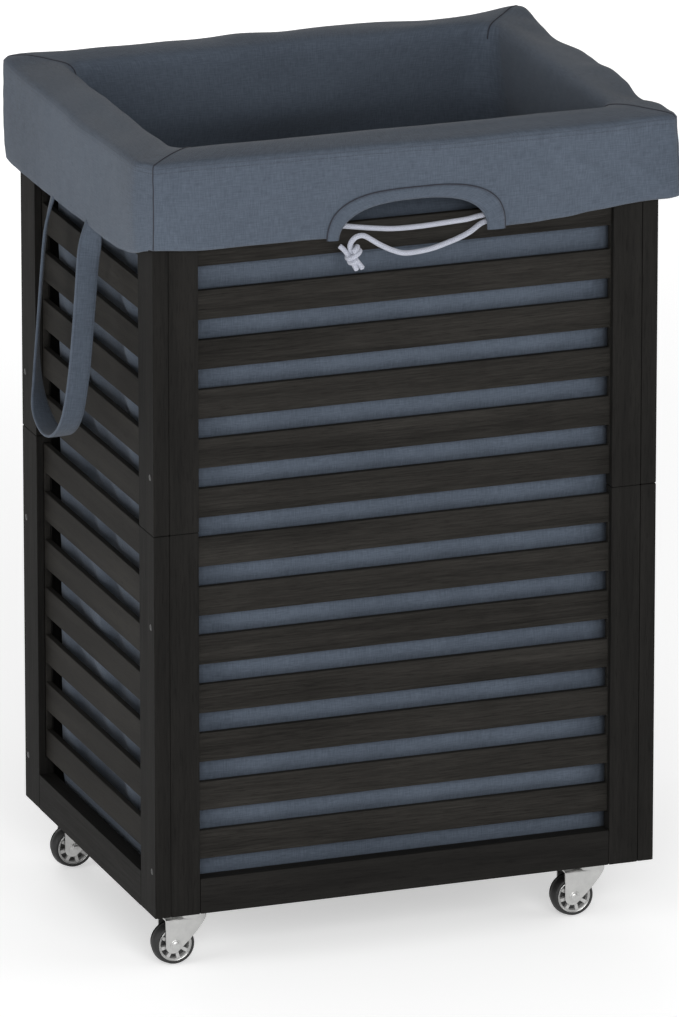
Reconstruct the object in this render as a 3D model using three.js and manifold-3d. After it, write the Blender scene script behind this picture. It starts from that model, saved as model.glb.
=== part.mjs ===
// Rolling slatted laundry hamper with a lift-out fabric liner.
// Millimetres, +Z up. Origin: on the floor, under the centre of the frame. -Y is the front.

import * as THREE from 'three';
import { mergeVertices } from 'three/addons/utils/BufferGeometryUtils.js';
import Module from 'manifold-3d';

const wasm = await Module();
wasm.setup();

// Driving dimensions

const GAP = 0.3; // clearance between pieces that touch

const FRAME_WIDTH = 460;
const FRAME_DEPTH = 352;
const FRAME_BOTTOM = 56; // height of the casters
const FRAME_HEIGHT = 668;
const FRAME_TOP = FRAME_BOTTOM + FRAME_HEIGHT;
const SPLIT_HEIGHT = 345; // where the lower panels end, above the frame's bottom

const BOARD = 14; // thickness of stiles and rails
const FRONT_OPENING = FRAME_WIDTH - 2 * 41; // between the stiles of the front and back
const SIDE_OPENING = FRAME_DEPTH - 2 * 38; // between the stiles of the sides
const BOTTOM_RAIL = 32;
const TOP_RAIL = 45;

const SLAT_HEIGHT = 26;
const SLAT_THICKNESS = 5.5;
const SLAT_RECESS = 7; // from the panel's outer face to the slat
const SLAT_PITCH = 44;
const FIRST_SLAT = 47.7; // lower edge of the lowest slat, above the frame's bottom
const LOWER_SLATS = 7;
const UPPER_SLATS = 5; // at the regular pitch, below the top slat
const TOP_SLAT = 579; // lower edge of the top slat, above the frame's bottom
const SLAT_TENON = 12; // how far a slat's end goes into its stile

const BASE_THICKNESS = 12;

const KINGPIN_X = 185;
const KINGPIN_Y = 136;
const WHEEL_RADIUS = 19;
const WHEEL_TRAIL = 16; // kingpin to axle
const TYRE_HALF_WIDTH = 8.2;
const HUB_RADIUS = 14.9;
const AXLE_RADIUS = 2.5;
const FORK_HALF_WIDTH = 10.8;
const FORK_STEEL = 1.5;
const FORK_TOP = 43.5;
const KINGPIN_RADIUS = 3;
const PLATE_SIDE = 40;
const PLATE_CORNER = 5;
const PLATE_THICKNESS = 2.5;
const RACE_RADIUS = 15;
const RACE_DEPTH = 4;

const CLOTH = 3; // thickness of the liner's plain solids
const BAG_WIDTH = 424;
const BAG_DEPTH = 316;
const BAG_CORNER = 40;
const CUFF_OFFSET = 12; // from the frame's face to the cuff's outer face
const CUFF_CORNER = 12;
const CUFF_BOTTOM = FRAME_BOTTOM + 590;
const CUFF_TOP = 734;
const CUFF_ROUND = 6; // rounding of the cuff's top edges
const RIM_CLEARANCE = 0.6; // between the frame's top edge and the cuff that lies over it
const ARCH_HALF_WIDTH = 68; // hand opening in the cuff's front and back
const ARCH_HEIGHT = 38;
const ARCH_POWER = 2.6;

const STRAP_WIDTH = 20;
const STRAP_THICKNESS = 3;
const CORD_RADIUS = 2.3;

const ROUND_SEGMENTS = 28;

// Materials

function surface(color, roughness, metalness) {
  return new THREE.MeshStandardMaterial({ color, roughness, metalness });
}

const finishes = {
  wood: () => surface(0x292826, 0.55, 0),
  slat: () => surface(0x31302e, 0.6, 0),
  steel: () => surface(0xc4c4c2, 0.3, 0.9),
  hub: () => surface(0xb9b9b6, 0.4, 0.3),
  tyre: () => surface(0x161616, 0.6, 0),
  liner: () => surface(0x555f6e, 0.9, 0),
  strap: () => surface(0x596273, 0.9, 0),
  cord: () => surface(0xbfc4d0, 0.85, 0),
};

// Geometry helpers

function solidOf(geometry) {
  const bare = geometry.clone();
  bare.deleteAttribute('normal');
  bare.deleteAttribute('uv');
  const merged = mergeVertices(bare, 1e-4);
  const index = merged.index.array;
  const kept = [];
  for (let i = 0; i < index.length; i += 3) {
    const [a, b, c] = [index[i], index[i + 1], index[i + 2]];
    if (a !== b && b !== c && c !== a) kept.push(a, b, c);
  }
  const vertProperties = new Float32Array(merged.attributes.position.array);
  const triVerts = new Uint32Array(kept);
  return new wasm.Manifold(new wasm.Mesh({ numProp: 3, vertProperties, triVerts }));
}

function geometryOf(solid) {
  const mesh = solid.getMesh();
  const geometry = new THREE.BufferGeometry();
  geometry.setAttribute('position', new THREE.BufferAttribute(mesh.vertProperties, 3));
  geometry.setIndex(new THREE.BufferAttribute(mesh.triVerts, 1));
  geometry.computeVertexNormals();
  return geometry;
}

function extruded(shape, bottom, top, curveSegments = 4) {
  const geometry = new THREE.ExtrudeGeometry(shape, {
    depth: top - bottom,
    bevelEnabled: false,
    curveSegments,
  });
  return geometry.translate(0, 0, bottom);
}

// A prism whose outline is drawn in X and Z, from y = near to y = far.
function extrudedAlongY(shape, near, far, curveSegments = 4) {
  const geometry = extruded(shape, -far, -near, curveSegments);
  return geometry.rotateX(Math.PI / 2);
}

function box(low, high) {
  const size = high.map((value, axis) => value - low[axis]);
  const geometry = new THREE.BoxGeometry(...size);
  return geometry.translate(...low.map((value, axis) => value + size[axis] / 2));
}

function rectangle(left, bottom, right, top) {
  const shape = new THREE.Shape();
  shape.moveTo(left, bottom);
  shape.lineTo(right, bottom);
  shape.lineTo(right, top);
  shape.lineTo(left, top);
  shape.closePath();
  return shape;
}

function roundedRectangle(width, depth, radius) {
  const x = width / 2;
  const y = depth / 2;
  const shape = new THREE.Shape();
  shape.moveTo(-x + radius, -y);
  shape.lineTo(x - radius, -y);
  shape.absarc(x - radius, -y + radius, radius, -Math.PI / 2, 0);
  shape.lineTo(x, y - radius);
  shape.absarc(x - radius, y - radius, radius, 0, Math.PI / 2);
  shape.lineTo(-x + radius, y);
  shape.absarc(-x + radius, y - radius, radius, Math.PI / 2, Math.PI);
  shape.lineTo(-x, -y + radius);
  shape.absarc(-x + radius, -y + radius, radius, Math.PI, 1.5 * Math.PI);
  shape.closePath();
  return shape;
}

function circle(radius, segments = ROUND_SEGMENTS) {
  const points = [];
  for (let i = 0; i < segments; i++) {
    const angle = (2 * Math.PI * i) / segments;
    points.push(new THREE.Vector2(radius * Math.cos(angle), radius * Math.sin(angle)));
  }
  return new THREE.Shape(points);
}

function tube(points, radius, steps, sides = 8) {
  const path = new THREE.CatmullRomCurve3(points.map((p) => new THREE.Vector3(...p)));
  return new THREE.ExtrudeGeometry(circle(radius, sides), {
    steps,
    bevelEnabled: false,
    extrudePath: path,
  });
}

// A flat band along a route. Each stop is a point and the direction across the band there.
function ribbon(stops, width, thickness, steps) {
  const route = new THREE.CatmullRomCurve3(stops.map((stop) => new THREE.Vector3(...stop.at)));
  const turn = new THREE.CatmullRomCurve3(stops.map((stop) => new THREE.Vector3(...stop.across)));
  const geometry = new THREE.BoxGeometry(width, thickness, 1, 1, 1, steps);
  const position = geometry.attributes.position;
  for (let i = 0; i < position.count; i++) {
    const t = position.getZ(i) + 0.5;
    const along = route.getTangent(t);
    const across = turn.getPoint(t);
    across.addScaledVector(along, -across.dot(along)).normalize();
    const normal = new THREE.Vector3().crossVectors(along, across);
    const point = route.getPoint(t);
    point.addScaledVector(across, position.getX(i));
    point.addScaledVector(normal, position.getY(i));
    position.setXYZ(i, point.x, point.y, point.z);
  }
  return geometry;
}

function addMesh(group, name, geometry, finish) {
  const mesh = new THREE.Mesh(geometry, finishes[finish]());
  mesh.name = name;
  group.add(mesh);
}

// Frame panels. Each is built with its outer face at y = 0, facing -Y, and then turned to its side.

function stile(inner, outer, bottom, top, grooveBottom, grooveTop) {
  const toOuter = Math.sign(outer - inner);
  const grooveEnd = inner + toOuter * (SLAT_TENON + GAP);
  const mouth = inner - toOuter;
  const body = box(
    [Math.min(inner, outer), 0, bottom],
    [Math.max(inner, outer), BOARD, top],
  );
  const groove = box(
    [Math.min(mouth, grooveEnd), SLAT_RECESS - GAP, grooveBottom - GAP],
    [Math.max(mouth, grooveEnd), SLAT_RECESS + SLAT_THICKNESS + GAP, grooveTop + GAP],
  );
  return geometryOf(solidOf(body).subtract(solidOf(groove)));
}

// The slats of one half panel, with their ends joined by strips that lie in the stiles' grooves.
function slatLadder(opening, slatBottoms) {
  const end = opening / 2 + SLAT_TENON;
  const lowest = slatBottoms[0];
  const highest = slatBottoms[slatBottoms.length - 1] + SLAT_HEIGHT;
  const outline = rectangle(-end, lowest, end, highest);
  for (let i = 1; i < slatBottoms.length; i++) {
    const below = slatBottoms[i - 1] + SLAT_HEIGHT;
    outline.holes.push(rectangle(-opening / 2, below, opening / 2, slatBottoms[i]));
  }
  return extrudedAlongY(outline, SLAT_RECESS, SLAT_RECESS + SLAT_THICKNESS);
}

function addHalfPanel(group, side, level, width, opening) {
  const lower = level === 'lower';
  const bottom = lower ? FRAME_BOTTOM : FRAME_BOTTOM + SPLIT_HEIGHT + GAP / 2;
  const top = lower ? FRAME_BOTTOM + SPLIT_HEIGHT - GAP / 2 : FRAME_TOP;
  const first = lower ? 0 : LOWER_SLATS;
  const count = lower ? LOWER_SLATS : UPPER_SLATS;
  const slatBottoms = [];
  for (let i = 0; i < count; i++) {
    slatBottoms.push(FRAME_BOTTOM + FIRST_SLAT + SLAT_PITCH * (first + i));
  }
  if (!lower) slatBottoms.push(FRAME_BOTTOM + TOP_SLAT);
  const grooveBottom = slatBottoms[0];
  const grooveTop = slatBottoms[slatBottoms.length - 1] + SLAT_HEIGHT;
  for (const [hand, sign] of [['left', -1], ['right', 1]]) {
    const geometry = stile(
      (sign * opening) / 2, (sign * width) / 2, bottom, top, grooveBottom, grooveTop,
    );
    addMesh(group, `${side}_${level}_${hand}_stile`, geometry, 'wood');
  }
  const railBottom = lower ? FRAME_BOTTOM : FRAME_TOP - TOP_RAIL;
  const railTop = lower ? FRAME_BOTTOM + BOTTOM_RAIL : FRAME_TOP;
  const railEnd = opening / 2 - GAP;
  const rail = box([-railEnd, 0, railBottom], [railEnd, BOARD, railTop]);
  addMesh(group, `${side}_${level}_rail`, rail, 'wood');
  addMesh(group, `${side}_${level}_slats`, slatLadder(opening, slatBottoms), 'slat');
}

function addFrame(part) {
  const between = FRAME_WIDTH - 2 * (BOARD + GAP); // the front and back stand between the sides
  const sides = [
    { side: 'front', turn: 0, x: 0, y: -FRAME_DEPTH / 2, width: between, opening: FRONT_OPENING },
    { side: 'right', turn: 1, x: FRAME_WIDTH / 2, y: 0, width: FRAME_DEPTH, opening: SIDE_OPENING },
    { side: 'back', turn: 2, x: 0, y: FRAME_DEPTH / 2, width: between, opening: FRONT_OPENING },
    { side: 'left', turn: 3, x: -FRAME_WIDTH / 2, y: 0, width: FRAME_DEPTH, opening: SIDE_OPENING },
  ];
  for (const { side, turn, x, y, width, opening } of sides) {
    const panel = new THREE.Group();
    panel.position.set(x, y, 0);
    panel.rotation.z = (turn * Math.PI) / 2;
    addHalfPanel(panel, side, 'lower', width, opening);
    addHalfPanel(panel, side, 'upper', width, opening);
    part.add(panel);
  }
  const baseX = FRAME_WIDTH / 2 - BOARD - GAP;
  const baseY = FRAME_DEPTH / 2 - BOARD - GAP;
  const base = box(
    [-baseX, -baseY, FRAME_BOTTOM],
    [baseX, baseY, FRAME_BOTTOM + BASE_THICKNESS],
  );
  addMesh(part, 'base_board', base, 'wood');
}

// Casters. Each is built round its kingpin, with the wheel trailing towards -X.

const PLATE_TOP = FRAME_BOTTOM - GAP;
const PLATE_BOTTOM = PLATE_TOP - PLATE_THICKNESS;
const RACE_BOTTOM = PLATE_BOTTOM - RACE_DEPTH;
const KINGPIN_HEAD_RADIUS = 5;
const KINGPIN_HEAD_TOP = FORK_TOP - FORK_STEEL - 0.4;
const KINGPIN_HEAD_BOTTOM = KINGPIN_HEAD_TOP - 1.8;

function casterPlate() {
  const outline = roundedRectangle(PLATE_SIDE, PLATE_SIDE, PLATE_CORNER);
  const plate = extruded(outline, PLATE_BOTTOM, PLATE_TOP, 2);
  const rounding = 1.5;
  const insidePlate = PLATE_BOTTOM + PLATE_THICKNESS / 2;
  const profile = [
    [0, KINGPIN_HEAD_BOTTOM],
    [KINGPIN_HEAD_RADIUS, KINGPIN_HEAD_BOTTOM],
    [KINGPIN_HEAD_RADIUS, KINGPIN_HEAD_TOP],
    [KINGPIN_RADIUS, KINGPIN_HEAD_TOP],
    [KINGPIN_RADIUS, RACE_BOTTOM],
    [RACE_RADIUS - rounding, RACE_BOTTOM],
    [RACE_RADIUS, RACE_BOTTOM + rounding],
    [RACE_RADIUS, insidePlate],
    [0, insidePlate],
  ].map(([r, z]) => new THREE.Vector2(r, z));
  const race = new THREE.LatheGeometry(profile, 16).rotateX(Math.PI / 2);
  return geometryOf(solidOf(plate).add(solidOf(race)));
}

// The fork's plan outline: straight cheeks from the trailing edge, closed by a long round nose.
const FORK_TAIL = -WHEEL_TRAIL - 9.4;
const FORK_NOSE_START = -WHEEL_TRAIL + 9;
const FORK_NOSE = 22;

function forkOutline(inset) {
  const y = FORK_HALF_WIDTH - inset;
  const nose = FORK_NOSE - inset;
  const shape = new THREE.Shape();
  shape.moveTo(FORK_TAIL - inset, -y);
  shape.lineTo(FORK_NOSE_START, -y);
  shape.absellipse(FORK_NOSE_START, 0, nose, y, -Math.PI / 2, Math.PI / 2);
  shape.lineTo(FORK_TAIL - inset, y);
  shape.closePath();
  return shape;
}

// The cheek seen from the side: round under the axle, with a slanted leading edge.
const CHEEK_BELOW = 7;

function cheekProfile() {
  const heel = FORK_TAIL + CHEEK_BELOW;
  const slantStart = -Math.PI / 4;
  const slantEnd = -WHEEL_TRAIL + 32;
  const above = FORK_TOP + 1;
  const shape = new THREE.Shape();
  shape.moveTo(FORK_TAIL - 1, above);
  shape.lineTo(FORK_TAIL - 1, WHEEL_RADIUS);
  shape.lineTo(FORK_TAIL, WHEEL_RADIUS);
  shape.absarc(heel, WHEEL_RADIUS, CHEEK_BELOW, Math.PI, 2 * Math.PI + slantStart);
  shape.lineTo(slantEnd, FORK_TOP - FORK_STEEL);
  shape.lineTo(slantEnd, above);
  shape.closePath();
  return shape;
}

const RIVET_RADIUS = 4;
const RIVET_HEIGHT = 1.2;
const RIVET_INSET = 0.2; // how far a rivet head goes into the cheek

function casterFork() {
  const bottom = WHEEL_RADIUS - CHEEK_BELOW - 1;
  const wall = solidOf(extruded(forkOutline(0), bottom, FORK_TOP, 6))
    .subtract(solidOf(extruded(forkOutline(FORK_STEEL), 0, FORK_TOP + 1, 6)));
  const wide = 2 * FORK_HALF_WIDTH;
  const cheeks = wall.intersect(solidOf(extrudedAlongY(cheekProfile(), -wide, wide, 5)));
  const web = solidOf(extruded(forkOutline(0), FORK_TOP - FORK_STEEL, FORK_TOP, 6));
  const race = solidOf(extruded(circle(RACE_RADIUS - 1, 16), FORK_TOP - 1, RACE_BOTTOM - GAP));
  const hole = solidOf(extruded(circle(KINGPIN_RADIUS + GAP, 12), 0, FRAME_BOTTOM));
  const axle = new THREE.CylinderGeometry(AXLE_RADIUS, AXLE_RADIUS, 2 * FORK_HALF_WIDTH, 12)
    .translate(-WHEEL_TRAIL, 0, WHEEL_RADIUS);
  let fork = cheeks.add(web).add(race).subtract(hole).add(solidOf(axle));
  const headLength = RIVET_HEIGHT + RIVET_INSET;
  const headCentre = FORK_HALF_WIDTH + RIVET_HEIGHT - headLength / 2;
  for (const side of [-1, 1]) {
    const head = new THREE.CylinderGeometry(RIVET_RADIUS, RIVET_RADIUS, headLength, 12)
      .translate(-WHEEL_TRAIL, side * headCentre, WHEEL_RADIUS);
    fork = fork.add(solidOf(head));
  }
  return geometryOf(fork);
}

const SPOKES = 8;
const SPOKE_HALF_ANGLE = 0.13;
const POCKET_OUTER = 12.6;
const POCKET_INNER = 6.6;
const POCKET_TAPER = 0.1; // radians by which a pocket narrows at its inner end
const HUB_HALF_WIDTH = 7.4;
const WEB_HALF_WIDTH = 1.5;
const BOSS_RADIUS = 5.6;
const BOSS_HALF_WIDTH = 8.7;

// The hub: a rim, eight spokes and a boss, with a thin web halfway through its pockets.
function wheelHub() {
  const face = circle(HUB_RADIUS, 24);
  for (let i = 0; i < SPOKES; i++) {
    const start = (2 * Math.PI * i) / SPOKES + SPOKE_HALF_ANGLE;
    const end = (2 * Math.PI * (i + 1)) / SPOKES - SPOKE_HALF_ANGLE;
    const pocket = new THREE.Path();
    pocket.absarc(0, 0, POCKET_OUTER, start, end, false);
    for (const angle of [end - POCKET_TAPER, start + POCKET_TAPER]) {
      pocket.lineTo(POCKET_INNER * Math.cos(angle), POCKET_INNER * Math.sin(angle));
    }
    pocket.closePath();
    face.holes.push(pocket);
  }
  const webRadius = (POCKET_OUTER + HUB_RADIUS) / 2;
  const wide = 2 * BOSS_HALF_WIDTH;
  const sheet = extrudedAlongY(face, -HUB_HALF_WIDTH, HUB_HALF_WIDTH, 2);
  const web = extrudedAlongY(circle(webRadius, 12), -WEB_HALF_WIDTH, WEB_HALF_WIDTH);
  const boss = extrudedAlongY(circle(BOSS_RADIUS, 12), -BOSS_HALF_WIDTH, BOSS_HALF_WIDTH);
  const bore = extrudedAlongY(circle(AXLE_RADIUS + GAP, 12), -wide, wide);
  const hub = solidOf(sheet).add(solidOf(web)).add(solidOf(boss)).subtract(solidOf(bore));
  return geometryOf(hub).translate(-WHEEL_TRAIL, 0, WHEEL_RADIUS);
}

function wheelTyre() {
  const inner = HUB_RADIUS + GAP;
  const w = TYRE_HALF_WIDTH;
  const flank = WHEEL_RADIUS - 1.8;
  const shoulder = WHEEL_RADIUS - 0.6;
  const profile = [
    [inner, -w],
    [flank, -w],
    [shoulder, -w + 1.4],
    [WHEEL_RADIUS, -w + 4],
    [WHEEL_RADIUS, w - 4],
    [shoulder, w - 1.4],
    [flank, w],
    [inner, w],
    [inner, -w],
  ].map(([r, y]) => new THREE.Vector2(r, y));
  return new THREE.LatheGeometry(profile, ROUND_SEGMENTS).translate(-WHEEL_TRAIL, 0, WHEEL_RADIUS);
}

function addCasters(part) {
  for (const [depthName, y] of [['front', -KINGPIN_Y], ['back', KINGPIN_Y]]) {
    for (const [widthName, x] of [['left', -KINGPIN_X], ['right', KINGPIN_X]]) {
      const corner = `${depthName}_${widthName}`;
      const caster = new THREE.Group();
      caster.position.set(x, y, 0);
      addMesh(caster, `caster_plate_${corner}`, casterPlate(), 'steel');
      addMesh(caster, `caster_fork_${corner}`, casterFork(), 'steel');
      addMesh(caster, `wheel_hub_${corner}`, wheelHub(), 'hub');
      addMesh(caster, `wheel_tyre_${corner}`, wheelTyre(), 'tyre');
      part.add(caster);
    }
  }
}

// Liner: a bag that hangs in the frame, and its cuff folded over the frame's top edge.

function linerBag() {
  const bottom = FRAME_BOTTOM + BASE_THICKNESS + 2 * GAP;
  const outer = roundedRectangle(BAG_WIDTH, BAG_DEPTH, BAG_CORNER);
  const inner = roundedRectangle(BAG_WIDTH - 2 * CLOTH, BAG_DEPTH - 2 * CLOTH, BAG_CORNER - CLOTH);
  const shell = solidOf(extruded(outer, bottom, CUFF_BOTTOM - GAP))
    .subtract(solidOf(extruded(inner, bottom + CLOTH, CUFF_TOP)));
  return geometryOf(shell);
}

// Half of a superellipse, standing on the cuff's lower edge.
function archShape(halfWidth, height) {
  const steps = 16;
  const below = CUFF_BOTTOM - 5;
  const points = [new THREE.Vector2(halfWidth, below)];
  for (let i = 0; i <= steps; i++) {
    const angle = (Math.PI * i) / steps;
    const c = Math.cos(angle);
    const s = Math.abs(Math.sin(angle));
    const x = Math.sign(c) * halfWidth * Math.pow(Math.abs(c), 2 / ARCH_POWER);
    points.push(new THREE.Vector2(x, CUFF_BOTTOM + height * Math.pow(s, 2 / ARCH_POWER)));
  }
  points.push(new THREE.Vector2(-halfWidth, below));
  return new THREE.Shape(points);
}

function linerCuff() {
  const outerWidth = FRAME_WIDTH + 2 * CUFF_OFFSET;
  const outerDepth = FRAME_DEPTH + 2 * CUFF_OFFSET;
  const round = CUFF_ROUND;
  const depth = CUFF_TOP - CUFF_BOTTOM;
  const block = new THREE.ExtrudeGeometry(
    roundedRectangle(outerWidth - 2 * round, outerDepth - 2 * round, CUFF_CORNER - round),
    { depth, bevelSize: round, bevelThickness: round, bevelSegments: 2, curveSegments: 4 },
  ).translate(0, 0, CUFF_TOP - depth - round);
  const below = box([-outerWidth, -outerDepth, 0], [outerWidth, outerDepth, CUFF_BOTTOM]);
  const mouth = roundedRectangle(
    BAG_WIDTH - 2 * CLOTH, BAG_DEPTH - 2 * CLOTH, BAG_CORNER - CLOTH,
  );
  const skirtInner = roundedRectangle(
    outerWidth - 2 * CLOTH, outerDepth - 2 * CLOTH, CUFF_CORNER - CLOTH,
  );
  const channel = solidOf(extruded(skirtInner, 0, FRAME_TOP + RIM_CLEARANCE))
    .subtract(solidOf(extruded(roundedRectangle(BAG_WIDTH, BAG_DEPTH, BAG_CORNER), -1, CUFF_TOP)));
  let cuff = solidOf(block)
    .subtract(solidOf(below))
    .subtract(solidOf(extruded(mouth, 0, CUFF_TOP + 10)))
    .subtract(channel);
  const arch = archShape(ARCH_HALF_WIDTH, ARCH_HEIGHT);
  const outside = outerDepth / 2 + 1;
  const inside = outerDepth / 2 - 2 * CLOTH;
  for (const [near, far] of [[-outside, -inside], [inside, outside]]) {
    cuff = cuff.subtract(solidOf(extrudedAlongY(arch, near, far)));
  }
  return geometryOf(cuff);
}

// Strap loop on the left side. It hangs from under the cuff, and its far strand is turned edge-on.
const LEFT_STRAP = [
  { at: [-241, -45, CUFF_BOTTOM - 3], across: [1, 0, 0] },
  { at: [-243, -45, 610], across: [1, 0, 0] },
  { at: [-247, -44, 560], across: [1, 0, 0] },
  { at: [-251, -42, 510], across: [1, 0, 0] },
  { at: [-255, -34, 470], across: [1, 0, 0] },
  { at: [-257, -12, 449], across: [1, 0.05, 0] },
  { at: [-257, 18, 444], across: [1, 0.2, 0] },
  { at: [-257, 44, 456], across: [0.9, 0.5, 0] },
  { at: [-256, 56, 482], across: [0.6, 0.8, 0] },
  { at: [-254, 60, 520], across: [0.39, 0.92, 0] },
  { at: [-250, 60, 570], across: [0.39, 0.92, 0] },
  { at: [-246, 59, 620], across: [0.39, 0.92, 0] },
  { at: [-244, 58, CUFF_BOTTOM - 3], across: [0.39, 0.92, 0] },
];

function addStraps(part) {
  for (const [name, turn] of [['strap_left', 0], ['strap_right', Math.PI]]) {
    const side = new THREE.Group();
    side.rotation.z = turn;
    addMesh(side, name, ribbon(LEFT_STRAP, STRAP_WIDTH, STRAP_THICKNESS, 30), 'strap');
    part.add(side);
  }
}

// Drawstring at the front hand opening: one length runs straight across, the other droops to a knot.
const RETURN_CORD = [
  [-73, -181.8, 662.6],
  [-66.5, -182, 662.7],
  [-61, -183.1, 662.7],
  [-55, -185.6, 662.3],
  [-46, -187.6, 661.2],
  [-34, -187.6, 659.3],
  [-15, -187, 657],
  [9, -186.8, 656.8],
  [34, -187, 658],
  [49, -186.8, 658.7],
  [56, -185, 659.1],
  [62, -182.9, 659.4],
  [67.5, -182, 659.7],
  [73, -181.8, 660],
];
const LOOP_CORD = [
  [73, -182, 654.4],
  [68, -182.2, 653.6],
  [63, -183.6, 652.2],
  [57.5, -186.4, 650],
  [51, -189, 647.4],
  [43, -190.8, 644.8],
  [33.3, -191.7, 642],
  [14.6, -192.3, 637.4],
  [-6.5, -192.6, 636],
  [-18.9, -192.8, 639.5],
  [-31.2, -193, 646],
  [-43.1, -193.2, 653.9],
  [-47.8, -193.2, 655.6],
  [-52.8, -193.1, 654.6],
  [-56.5, -192.9, 651.3],
  [-58.1, -192.6, 647.3],
];
const KNOT_CENTRE = [-54.5, -192, 639];
const KNOT_RADII = [9, 5.5, 7.2];
const KNOT_TAILS = [
  [[-53, -192, 638], [-50, -191.5, 627.5]],
  [[-51, -192, 639], [-44.8, -191.5, 629.5]],
];
const KNOT_STUB = [[-57, -192, 638], [-61, -190.5, 642], [-65.3, -189.5, 645.2]];

function cordKnot() {
  const ball = new THREE.SphereGeometry(1, 12, 8)
    .scale(...KNOT_RADII)
    .translate(...KNOT_CENTRE);
  let knot = solidOf(ball);
  for (const tail of [...KNOT_TAILS, KNOT_STUB]) {
    knot = knot.add(solidOf(tube(tail, CORD_RADIUS, 2)));
  }
  return geometryOf(knot);
}

function addDrawstring(part) {
  addMesh(part, 'front_return_cord', tube(RETURN_CORD, CORD_RADIUS, 14), 'cord');
  addMesh(part, 'front_drawstring', tube(LOOP_CORD, CORD_RADIUS, 20), 'cord');
  addMesh(part, 'front_drawstring_knot', cordKnot(), 'cord');
}

const hamper = new THREE.Group();
addFrame(hamper);
addCasters(hamper);
addMesh(hamper, 'liner_bag', linerBag(), 'liner');
addMesh(hamper, 'liner_cuff', linerCuff(), 'liner');
addStraps(hamper);
addDrawstring(hamper);

export default hamper;
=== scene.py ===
"""Looks of the rolling laundry hamper: frame, casters, fabric liner, straps and drawstring."""

import math

import bpy
import numpy as np
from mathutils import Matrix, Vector


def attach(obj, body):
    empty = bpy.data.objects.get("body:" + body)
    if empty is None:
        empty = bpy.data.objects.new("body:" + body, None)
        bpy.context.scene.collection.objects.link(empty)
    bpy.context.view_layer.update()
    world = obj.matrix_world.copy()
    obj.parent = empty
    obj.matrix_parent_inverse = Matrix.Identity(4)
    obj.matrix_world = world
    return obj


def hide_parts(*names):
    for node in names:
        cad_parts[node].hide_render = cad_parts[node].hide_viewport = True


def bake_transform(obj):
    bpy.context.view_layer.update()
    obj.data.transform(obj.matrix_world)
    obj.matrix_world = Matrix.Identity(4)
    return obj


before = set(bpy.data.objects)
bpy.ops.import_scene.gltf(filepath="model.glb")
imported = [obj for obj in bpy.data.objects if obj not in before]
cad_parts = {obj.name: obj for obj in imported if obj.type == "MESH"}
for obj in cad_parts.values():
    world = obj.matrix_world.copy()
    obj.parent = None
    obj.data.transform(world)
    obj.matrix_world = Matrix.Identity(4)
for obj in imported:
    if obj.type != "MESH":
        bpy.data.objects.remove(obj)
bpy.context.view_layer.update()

# Driving dimensions, in millimetres like the CAD source's. The origin is on the floor under the frame's
# centre, and -Y is the front.

MM = 0.001
HALF_WIDTH = 230
HALF_DEPTH = 176
FRAME_BOTTOM = 56
HEM = 646  # nominal height of the cuff's lower edge
CORD_RADIUS = 2.3
STRAP_WIDTH = 20
STRAP_THICKNESS = 2.6
STRAP_ROUNDING = 1.2

KINGPIN_X = 185
KINGPIN_Y = 136
WHEEL_RADIUS = 19
WHEEL_TRAIL = 16
WHEEL_CENTRE = (-WHEEL_TRAIL, 0, WHEEL_RADIUS)
FORK_HALF_WIDTH = 10.8
FORK_STEEL = 1.5
FORK_TOP = 43.5
FORK_TAIL = -WHEEL_TRAIL - 9.4
FORK_NOSE_START = -WHEEL_TRAIL + 9
FORK_NOSE = 22
CHEEK_BELOW = 7
HUB_RADIUS = 14.9
CORNERS = {
    "front_left": (-KINGPIN_X, -KINGPIN_Y),
    "front_right": (KINGPIN_X, -KINGPIN_Y),
    "back_left": (-KINGPIN_X, KINGPIN_Y),
    "back_right": (KINGPIN_X, KINGPIN_Y),
}

SLAT_PITCH = 44
SLAT_HEIGHT = 26
FIRST_SLAT = 47.7  # lower edge of the lowest slat, above the frame's bottom
FIRST_GAP = FRAME_BOTTOM + FIRST_SLAT + (SLAT_HEIGHT + SLAT_PITCH) / 2  # middle of the lowest gap

# Cord routes, the same points as in the CAD source.

RETURN_CORD = [
    (-73, -181.8, 662.6), (-66.5, -182, 662.7), (-61, -183.1, 662.7),
    (-55, -185.6, 662.3), (-46, -187.6, 661.2), (-34, -187.6, 659.3),
    (-15, -187, 657), (9, -186.8, 656.8), (34, -187, 658),
    (49, -186.8, 658.7), (56, -185, 659.1), (62, -182.9, 659.4),
    (67.5, -182, 659.7), (73, -181.8, 660),
]
LOOP_CORD = [
    (73, -182, 654.4), (68, -182.2, 653.6), (63, -183.6, 652.2),
    (57.5, -186.4, 650), (51, -189, 647.4), (43, -190.8, 644.8),
    (33.3, -191.7, 642), (14.6, -192.3, 637.4), (-6.5, -192.6, 636),
    (-18.9, -192.8, 639.5), (-31.2, -193, 646), (-43.1, -193.2, 653.9),
    (-47.8, -193.2, 655.6), (-52.8, -193.1, 654.6), (-56.5, -192.9, 651.3),
    (-58.1, -192.6, 647.3),
]

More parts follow.
